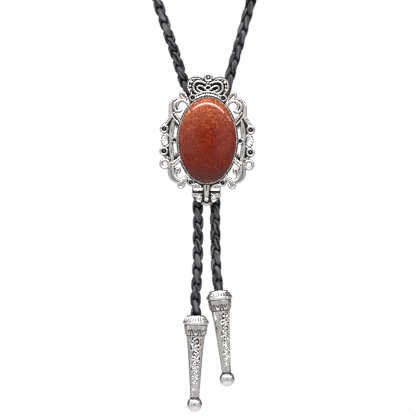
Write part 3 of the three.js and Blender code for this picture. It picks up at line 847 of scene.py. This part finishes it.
def makeCrown():
    half = silverBars(crownBars)
    edge = crownBars[0]["curve"]
    rim = alongCurve(edge, crownRim["pitch"], -crownRim["inset"])
    half.append(silverBar(rim[::2], crownRim["under"], crownRim["level"]))
    half.append(silverBar(alongCurve(edge, 2 * crownRim["pitch"], -crownRim["channel"]),
                          crownRim["channelWidth"], crownRim["channelTop"]))
    half += [silverBead(at, crownRim["bead"], crownRim["level"]) for at in rim]
    half += [silverBead(row["at"], row["radius"], crownRim["pearlLevel"]) for row in crownPearls]
    half += silverDrop(crownDrop)
    half += silverSetting({**smallSetting, "at": (-7.7, 21.3)})
    half.append(silverPlate(crownFloor["outline"], crownFloor["top"]))
    left = joined(half, "crown_left")
    closeAndTurnOut(left)
    parts = [left, mirrorCopy(left, "crown_right")]
    upper, lower = crownBase["upper"], crownBase["lower"]
    for arc in (upper, lower):
        points = [onArc(arc, x) for x in np.linspace(-crownBase["half"], crownBase["half"], 9)]
        parts.append(silverBar(points, crownBase["width"], crownBase["top"]))
    for place in crownBase["posts"]:
        for x in (-place, place):
            parts.append(silverBar([onArc(upper, x * 1.02), onArc(lower, x * 0.98)],
                                   crownBase["postWidth"], crownBase["postTop"]))
    for row in crownMiddle:
        parts += silverSetting(row)
    crown = fused(parts, "crown")
    ageAndShade(crown)
    finishCast(crown, slidePlace)
    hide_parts("slide_plate")


# The bow under the stone

bowPlates = [
    {"top": 1.5, "rim": 0.7, "sunk": 0.3,
     "outline": [(-6.4, -22), (-5.4, -21.7), (-3.8, -22.4), (-2, -24), (-2, -24.8), (-6.4, -24.8),
                 (-6.7, -23.4)]},
    {"top": 1.5, "rim": 1.1, "sunk": 0.1,
     "outline": [(-6.9, -26.7), (-2.2, -26.7), (-3.7, -27.3), (-5.4, -28), (-6.5, -27.7)]},
    {"top": 1.5, "rim": 0.75, "sunk": 0.35,
     "outline": [(-2.5, -28.1), (-2.5, -29.4), (-3, -30.6), (-3.9, -30.5), (-5.2, -29.5), (-4.6, -28.9),
                 (-3.6, -28.4)]},
]
bowFloor = {"top": 0.85,
            "outline": [(-6.3, -21.6), (-6.7, -25), (-7, -27.4), (-5, -29.4), (-3.4, -31.6), (0.1, -32.2),
                        (0.1, -20)]}
bowDrop = {"round": (-12.8, -22.3), "point": (-9.1, -18.1), "radius": 1.75, "rim": 0.7, "sunk": 0.35,
           "top": 1.8}
bowFolds = [
    {"width": 0.4, "top": 1.35, "curve": [(-6.1, -24.3), (-2.2, -24.3)]},
    {"width": 0.4, "top": 1.3, "curve": [(-5.2, -22), (-4.9, -24.2)]},
]
bowKnot = [
    # the lower edge, and the two halves of the knot
    {"width": 1.9, "top": 1.2, "ends": (0.75, 1), "curve": [(-3.1, -30.7), (-1.9, -31.2), (0.1, -31.4)]},
    {"width": 1.3, "top": 2.0, "ends": (1, 0.9), "curve": [(-0.8, -22.3), (-0.78, -24), (-0.62, -25.6)]},
    {"width": 1.25, "top": 1.7, "curve": [(-0.6, -25.6), (-0.5, -26.8), (-0.5, -28.3)]},
]
bowPip = {"at": (-3.9, -29.3), "radius": 0.4, "level": 1.0}
bowBall = {"at": (0, -29.5), "radius": 1.4, "level": 0.9}


def makeBow():
    half = []
    for row in bowPlates:
        half.append(silverPlate(row["outline"], row["top"] - row["sunk"]))
        half.append(silverBar(row["outline"], row["rim"], row["top"], closed=True, sharp=True))
    half += silverBars(bowFolds) + [silverBead(**bowPip)]
    half += silverDrop(bowDrop)
    half += silverSetting({**smallSetting, "at": (-7.9, -21)})
    half.append(silverPlate(bowFloor["outline"], bowFloor["top"]))
    half += silverBars(bowKnot)
    left = joined(half, "bow_left")
    closeAndTurnOut(left)
    bow = fused([left, mirrorCopy(left, "bow_right"), silverBead(**bowBall)], "bow")
    ageAndShade(bow)
    finishCast(bow, slidePlace)
    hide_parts("slide_plate")


# The oval seat and the milled bezel

oval = {
    "seat": (15.45, 22.5), "seatEdge": 0.2,
    "wall": (14.57, 21.62), "thick": 0.5, "wallTop": 1.9,
    "teeth": 158, "tooth": (0.66, 0.5, 0.8), "toothEdge": 0.15, "toothLevel": 1.7, "lean": -8,
    "grime": 0.3,       # the least patina on it
}


def ovalPoint(size, angle):
    return size[0] * math.cos(angle), size[1] * math.sin(angle)


def makeBezel():
    base = casting["back"]
    seat = added(bpy.ops.mesh.primitive_cylinder_add, vertices=160, radius=1, depth=-base,
                 location=(0, 0, base / 2))
    seat.scale = (oval["seat"][0], oval["seat"][1], 1)
    bpy.ops.object.transform_apply()
    applyModifier(seat, "BEVEL", width=oval["seatEdge"], segments=2, limit_method="ANGLE")
    wall = silverBar([ovalPoint(oval["wall"], 2 * math.pi * i / 72) for i in range(72)], oval["thick"],
                     oval["wallTop"], closed=True)
    turns = np.linspace(0, 2 * math.pi, 2000)
    rim = np.array([ovalPoint(oval["wall"], a) for a in turns])
    along = np.concatenate([[0], np.cumsum(np.linalg.norm(np.diff(rim, axis=0), axis=1))])
    tooth = added(bpy.ops.mesh.primitive_cube_add, size=1)
    tooth.scale = oval["tooth"]
    bpy.ops.object.transform_apply()
    applyModifier(tooth, "BEVEL", width=oval["toothEdge"], segments=1)
    teeth = []
    for i in range(oval["teeth"]):
        turn = np.interp(along[-1] * i / oval["teeth"], along, turns)
        x, y = ovalPoint(oval["wall"], turn)
        facing = math.atan2(y / oval["wall"][1] ** 2, x / oval["wall"][0] ** 2)
        shape = tooth.data.copy()
        shape.transform(Matrix.Translation((x, y, oval["toothLevel"])) @ Matrix.Rotation(facing, 4, "Z")
                        @ Matrix.Rotation(math.radians(oval["lean"]), 4, "Y"))
        copy = bpy.data.objects.new("tooth", shape)
        scene.collection.objects.link(copy)
        teeth.append(copy)
    bpy.data.objects.remove(tooth)
    bezel = joined([seat, wall] + teeth, "milled_bezel")
    closeAndTurnOut(bezel, 1e-5)
    ageAndShade(bezel, oval["grime"])
    finishCast(bezel, slidePlace)
    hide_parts("slide_plate")


# The stone

stone = {
    "half": (14.2, 21.25), "base": 0.3, "shoulder": 1.5, "top": 6.6,
    # painted light: the glass and its flecks by height, darkest just above the foot and lightest at the top,
    # as light falling from above; 0 is the stone's foot and 1 its top, in metres below
    "foot": -0.3213, "crown": -0.2787,
    # painted light: the left edge is painted as light as the glass higher up
    "leftEdge": (-0.005, -0.0142, 0.14),    # the left edge is as light as glass higher up
    "glass": [(0, "#5c1805"), (0.06, "#3c0702"), (0.2, "#500f03"), (0.6, "#5c1203"), (0.8, "#6c1c06"),
              (1, "#86300c")],
    "copper": [(0, "#b05a28"), (0.06, "#742008"), (0.2, "#8c2c10"), (0.6, "#a23a16"), (0.8, "#c66a38"),
               (1, "#de8c54")],
}


def goldstone():
    # aventurine glass: brown-red glass full of copper flecks that catch the light, polished to a hard gloss;
    # its colour is painted lighter towards the top and at the left edge, as painted light from above
    material, tree, shader = newMaterial("copper_aventurine_glass")
    place = addNode(tree, "TexCoord").outputs["Object"]
    flecks = addNode(tree, "TexVoronoi", {"Scale": 2700, "Randomness": 1.0}, {"Vector": place})
    clouds = addNode(tree, "TexNoise", {"Scale": 420, "Detail": 4, "Roughness": 0.7},
                     {"Vector": place})
    split = addNode(tree, "SeparateXYZ", None, {"Vector": place})
    # painted light: lighter higher up on the stone and at its left edge
    height = addNode(tree, "MapRange", {"From Min": stone["foot"], "From Max": stone["crown"]},
                     {"Value": split.outputs["Z"]})
    inner, outer, lift = stone["leftEdge"]
    leftEdge = addNode(tree, "MapRange", {"From Min": inner, "From Max": outer, "To Max": lift},
                       {"Value": split.outputs["X"]})
    lit = addNode(tree, "Math", {"operation": "ADD"},
                  {0: height.outputs["Result"], 1: leftEdge.outputs["Result"]})
    glass, copper = (addNode(tree, "ValToRGB",
                             {"stops": [(at, toLinear(colour)) for at, colour in stone[part]]},
                             {"Fac": lit.outputs["Value"]}) for part in ("glass", "copper"))
    sparkle = addNode(tree, "MapRange", {"From Min": 0.4, "From Max": 1.0},
                      {"Value": flecks.outputs["Color"]})
    patchy = addNode(tree, "MapRange",
                     {"From Min": 0.35, "From Max": 0.65, "To Min": 0.35, "To Max": 1.3},
                     {"Value": clouds.outputs["Fac"]})
    amount = addNode(tree, "Math", {"operation": "MULTIPLY", "use_clamp": True},
                     {0: sparkle.outputs["Result"], 1: patchy.outputs["Result"]})
    colour = addNode(tree, "Mix", {"data_type": "RGBA"},
                     {"Factor": amount.outputs["Value"], "A": glass.outputs["Color"],
                      "B": copper.outputs["Color"]})
    feed(tree, shader, {"Base Color": colour.outputs["Result"]})
    shader.inputs["Roughness"].default_value = 0.05
    shader.inputs["IOR"].default_value = 1.5
    shader.inputs["Specular IOR Level"].default_value = 0.4
    return material


def makeStone():
    cabochon = added(bpy.ops.mesh.primitive_uv_sphere_add, segments=128, ring_count=64, radius=1)
    cabochon.name = cabochon.data.name = "goldstone_cabochon"
    bpy.ops.object.mode_set(mode="EDIT")
    bpy.ops.mesh.select_all(action="SELECT")
    bpy.ops.mesh.bisect(plane_co=(0, 0, 0), plane_no=(0, 0, 1), clear_inner=True, use_fill=True)
    bpy.ops.object.mode_set(mode="OBJECT")
    cabochon.scale = (*stone["half"], stone["top"] - stone["shoulder"])
    bpy.ops.object.transform_apply()
    bpy.ops.object.mode_set(mode="EDIT")
    bpy.ops.mesh.select_all(action="DESELECT")
    bpy.ops.object.mode_set(mode="OBJECT")
    for face in cabochon.data.polygons:
        face.select = face.normal.z < -0.99
    bpy.ops.object.mode_set(mode="EDIT")
    down = (0, 0, stone["base"] - stone["shoulder"])
    bpy.ops.mesh.extrude_region_move(TRANSFORM_OT_translate={"value": down})
    bpy.ops.object.mode_set(mode="OBJECT")
    cabochon.location.z = stone["shoulder"]
    bpy.ops.object.transform_apply()
    closeAndTurnOut(cabochon, 1e-5)
    cabochon.data.transform(slidePlace)
    bpy.ops.object.shade_smooth_by_angle(angle=math.radians(50))
    cabochon.data.materials.append(goldstone())
    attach(cabochon, "root")
    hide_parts("stone")
    print("stone", triangles(cabochon), "triangles")


# The tips: a turned and fluted cast cone, worked as one relief on its unrolled face

tip = {
    # radius, height, step to the next row
    "outline": [(0, -12, 2.8), (2.8, -12, 6), (2.8, -0.3, 0.3), (3.1, 0, 0.4), (4.2, 0, 0.15),
                (4.45, -0.1, 0.2), (4.9, -0.9, 0.2), (6.1, -2.5, 0.15), (6.5, -3, 0.15),
                (6.55, -3.4, 0.15), (6.3, -4.1, 0.15), (5.75, -4.55, 0.15), (5.9, -5.0, 0.15),
                (5.85, -5.6, 0.15), (5.45, -8.9, 0.15), (5.2, -9.6, 0.15), (4.7, -9.9, 0.15),
                (4.25, -13, 0.17), (3.85, -17, 0.17), (3.45, -22, 0.17), (3.1, -27, 0.17),
                (2.75, -33, 0.17), (2.4, -38, 0.2), (2.3, -41, 0.15)],
    "ball": (-44.5, 3.75), "ballFrom": 37, "ballRows": 34, "columns": 176,
    "mouth": 4.15,          # the first row wider than this starts the outside
    "flutes": 22, "fluteDepth": 0.38, "fluteFrom": -0.1, "fluteTo": -2.7,
    "petals": 8, "strokeHalf": 0.32, "strokeDepth": 0.5, "petalRadius": 5.5, "petalBand": (-10.6, -6),
    # the pointed petals' cuts: a small V in each and a tall one between each pair, by degrees and height
    "cuts": [[(-10, -6.9), (0, -8.2), (10, -6.9)], [(12, -9.9), (22.5, -6.8), (33, -9.9)]],
    "panelHalf": 43, "panelTop": -10.3, "panelEnd": -37.8, "panelDepth": 0.5,
    "vine": [6.4, 5.6, 5.0, 4.2, 3.5, 2.8], "vineHalf": 0.5, "vineAbove": 0.12, "vineWidth": 0.97,
    "neck": (-38, -41), "neckFlutes": 14, "neckDepth": 0.09,
    # the patina: in the relief from one depth to another, inside the bore, and round some grooves; round the
    # one under the petal skirt it is partly painted shadow, and round the neck it is partly a painted dark
    # reflection over the top of the ball
    "darkFrom": 0.1, "darkFull": 0.34, "boreDark": 0.6,
    "darkRings": [{"height": -4.6, "half": 0.45, "dark": 0.75}, {"height": -9.95, "half": 0.5, "dark": 0.8},
                {"height": -41.5, "half": 1.2, "dark": 0.85}],
}
# one scroll of the vine, across the panel from -1 to 1 and down it from 0 to 1
vineScroll = [
    [(-0.75, 0.0), (-0.2, -0.02), (0.45, 0.08), (0.8, 0.32), (0.7, 0.62), (0.3, 0.72), (-0.02, 0.55),
     (0.12, 0.36), (0.38, 0.42)],
    [(-0.75, 0.0), (-0.88, 0.25), (-0.8, 0.55), (-0.45, 0.66), (-0.3, 0.45), (-0.52, 0.34)],
    [(-0.8, 0.55), (-0.55, 0.82), (0.1, 0.9), (0.75, 1.0)],
    [(-0.35, 0.2), (0.05, 0.16)],
    [(0.78, 0.78), (0.92, 0.92)],
    [(-0.15, 0.78), (0.1, 0.8)],
    [(0.62, 0.02), (0.95, 0.12)],
]
tips = [
    {"name": "tip_left", "route": tailLeftRoute, "turn": 0, "mirror": 1},
    {"name": "tip_right", "route": tailRightRoute, "turn": 31, "mirror": -1},
]


def ridges(across, down, lines, half):
    # a rounded ridge of height 1 along each line, seen from points on the unrolled face
    height = np.zeros(down.shape)
    for line in lines:
        fine = np.array(alongCurve(line, 0.12)) if len(line) > 2 else np.linspace(line[0], line[-1], 24)
        for a, b in fine:
            near = 1 - ((across - a) ** 2 + (down - b) ** 2) / half ** 2
            height = np.maximum(height, np.sqrt(np.clip(near, 0, 1)))
    return height


def tipRows():
    rows = []
    outline = tip["outline"]
    for (r, z, step), (nextR, nextZ, _) in zip(outline, outline[1:]):
        count = max(1, round(math.hypot(nextR - r, nextZ - z) / step))
        rows += [(r + (nextR - r) * i / count, z + (nextZ - z) * i / count) for i in range(count)]
    middle, radius = tip["ball"]
    for degrees in np.linspace(tip["ballFrom"], 180, tip["ballRows"]):
        a = math.radians(degrees)
        rows.append((radius * math.sin(a), middle + radius * math.cos(a)))
    return np.array(rows)


def band(value, first, last, soft):
    # 1 from first down to last, fading over soft at each end
    return smoothStep(first, first - soft, value) * smoothStep(last, last + soft, value)


def vineRelief(rows, across, z, radius):
    # the scrolls one below the other, each turned the other way, height 1 on a stroke's middle
    half = math.radians(tip["panelHalf"])
    cone = rows[np.argmax(rows[:, 0] > tip["mouth"]):]
    top = tip["panelTop"] - 0.1
    vine = np.zeros(z.shape)
    for k, size in enumerate(tip["vine"]):
        wide = cone[np.argmin(np.abs(cone[:, 1] - (top - size / 2))), 0]
        stretch = wide * half * tip["vineWidth"] * (-1) ** k
        lines = [[(a * stretch, top - b * size) for a, b in line] for line in vineScroll]
        stroke = tip["vineHalf"] * (0.75 + 0.25 * size / tip["vine"][0])
        near = ((z < top + 1) & (z > top - size - 1)).any(1)
        vine[near] = np.maximum(vine[near], ridges((across * radius * half)[near], z[near], lines, stroke))
        top -= size
    return vine


def tipRelief(rows, angles, mirror):
    # height above the turned shape, one value for each row and column
    radius = rows[:, 0][:, None] * np.ones(len(angles))
    z = rows[:, 1][:, None] * np.ones(len(angles))
    outside = (np.arange(len(rows)) > np.argmax(rows[:, 0] > tip["mouth"]))[:, None]
    wave = np.abs(((angles * tip["flutes"] / 360) % 1) * 2 - 1)
    flute = (np.sqrt(np.clip(1 - wave ** 2, 0, 1)) - 1) * tip["fluteDepth"]
    shown = smoothStep(tip["fluteFrom"], tip["fluteFrom"] - 0.5, z)
    shown = shown * smoothStep(tip["fluteTo"] - 0.2, tip["fluteTo"] + 0.2, z)
    relief = np.where(outside, flute * shown, 0)
    share = 360 / tip["petals"]
    local = (angles + share / 2) % share - share / 2
    perDegree = math.radians(1) * tip["petalRadius"]
    cuts = [[(a * perDegree, b) for a, b in line] for line in tip["cuts"]]
    low, high = tip["petalBand"]
    petalRows = outside & (z > low) & (z < high)
    for offset in (0, share, -share):
        cut = ridges((local + offset) * perDegree, z, cuts, tip["strokeHalf"])
        relief = np.where(petalRows, np.minimum(relief, -cut * tip["strokeDepth"]), relief)
    half = tip["panelHalf"]
    for facing in (0, 180):
        turned = (angles - facing + 180) % 360 - 180
        inside = smoothStep(half, half - 4, np.abs(turned)) * outside
        inside = inside * band(z, tip["panelTop"], tip["panelEnd"], 0.3)
        vine = vineRelief(rows, turned / half * mirror, z, radius)
        sunk = inside * (vine * (tip["panelDepth"] + tip["vineAbove"]) - tip["panelDepth"])
        relief = np.where(inside > 0, sunk, relief)
    neck = band(z, *tip["neck"], 0.4) * outside
    ribs = 1 - np.abs(np.sin(np.radians(angles * tip["neckFlutes"] / 2)))
    return relief - neck * tip["neckDepth"] * ribs


def makeTips():
    rows = tipRows()
    columns = tip["columns"]
    angles = np.arange(columns) * 360 / columns
    for row in tips:
        relief = tipRelief(rows, angles - row["turn"], row["mirror"])
        radius = rows[:, 0][:, None] + relief
        radius[0] = radius[-1] = 0.001
        x = radius * np.sin(np.radians(angles))
        y = -radius * np.cos(np.radians(angles))
        cone = added(bpy.ops.mesh.primitive_grid_add, x_subdivisions=columns, y_subdivisions=len(rows) - 1,
                     size=1)
        cone.name = cone.data.name = row["name"] + "_cast"
        grid = vertexRows(cone, "co")
        column = np.round((grid[:, 0] + 0.5) * columns).astype(int) % columns
        level = np.round((grid[:, 1] + 0.5) * (len(rows) - 1)).astype(int)
        height = rows[level, 1]
        grid[:, 0], grid[:, 1], grid[:, 2] = x[level, column], y[level, column], height
        cone.data.vertices.foreach_set("co", grid.ravel())
        dark = smoothStep(tip["darkFrom"], tip["darkFull"], -relief[level, column])
        # patina round the grooves, with painted shadow under the petal skirt's rim and a painted dark
        # reflection over the ball's top
        for groove in tip["darkRings"]:
            inDarkRing = smoothStep(groove["half"], 0, np.abs(height - groove["height"])) * groove["dark"]
            dark = np.maximum(dark, inDarkRing)
        bore = level <= np.argmax(rows[:, 0] > tip["mouth"])
        setAttribute(cone.data, "patinaAndShade", np.where(bore, tip["boreDark"], dark))
        closeAndTurnOut(cone, 0.004)
        bottom, end = Vector(row["route"][-2]), Vector(row["route"][-1])
        lean = math.atan2(bottom.x - end.x, bottom.z - end.z)
        place = (Matrix.Translation((bottom + Vector((0, 0, slideZ))) * mm) @ Matrix.Rotation(lean, 4, "Y")
                 @ Matrix.Scale(mm, 4))
        finishCast(cone, place)
        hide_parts(row["name"])


# The clip behind the slide stays as it is drawn, with its edges broken

clip = {"edge": 0.25, "steel": "#b9babc", "roughness": (0.26, 0.4)}


def tumbledSteel():
    # nickel-plated steel, tumbled before plating: an even satin shine with no grain to it
    material, tree, shader = newMaterial("nickel_plated_steel")
    place = addNode(tree, "TexCoord").outputs["Object"]
    cloud = addNode(tree, "TexNoise", {"Scale": 700, "Detail": 3}, {"Vector": place})
    smoothest, roughest = clip["roughness"]
    rough = addNode(tree, "MapRange", {"To Min": smoothest, "To Max": roughest},
                    {"Value": cloud.outputs["Fac"]})
    shader.inputs["Base Color"].default_value = toLinear(clip["steel"])
    shader.inputs["Metallic"].default_value = 1.0
    feed(tree, shader, {"Roughness": rough.outputs["Result"]})
    return material


def dressClip():
    plate = bpy.data.objects["back_clip"]
    weld = plate.modifiers.new("weld", "WELD")
    weld.merge_threshold = 1e-6
    edges = plate.modifiers.new("edges", "BEVEL")
    edges.width = clip["edge"] * mm
    edges.segments = 2
    edges.limit_method = "ANGLE"
    plate.data.materials.clear()
    plate.data.materials.append(tumbledSteel())
    print("clip", triangles(plate), "triangles before its bevel")


makeCamera()
makeLights()
makeStage()
print("camera, light and stage ready")
silver = antiqueSilver()
makeTips()
makeCords()
makeSides()
makeCrown()
makeBow()
makeBezel()
makeStone()
dressClip()
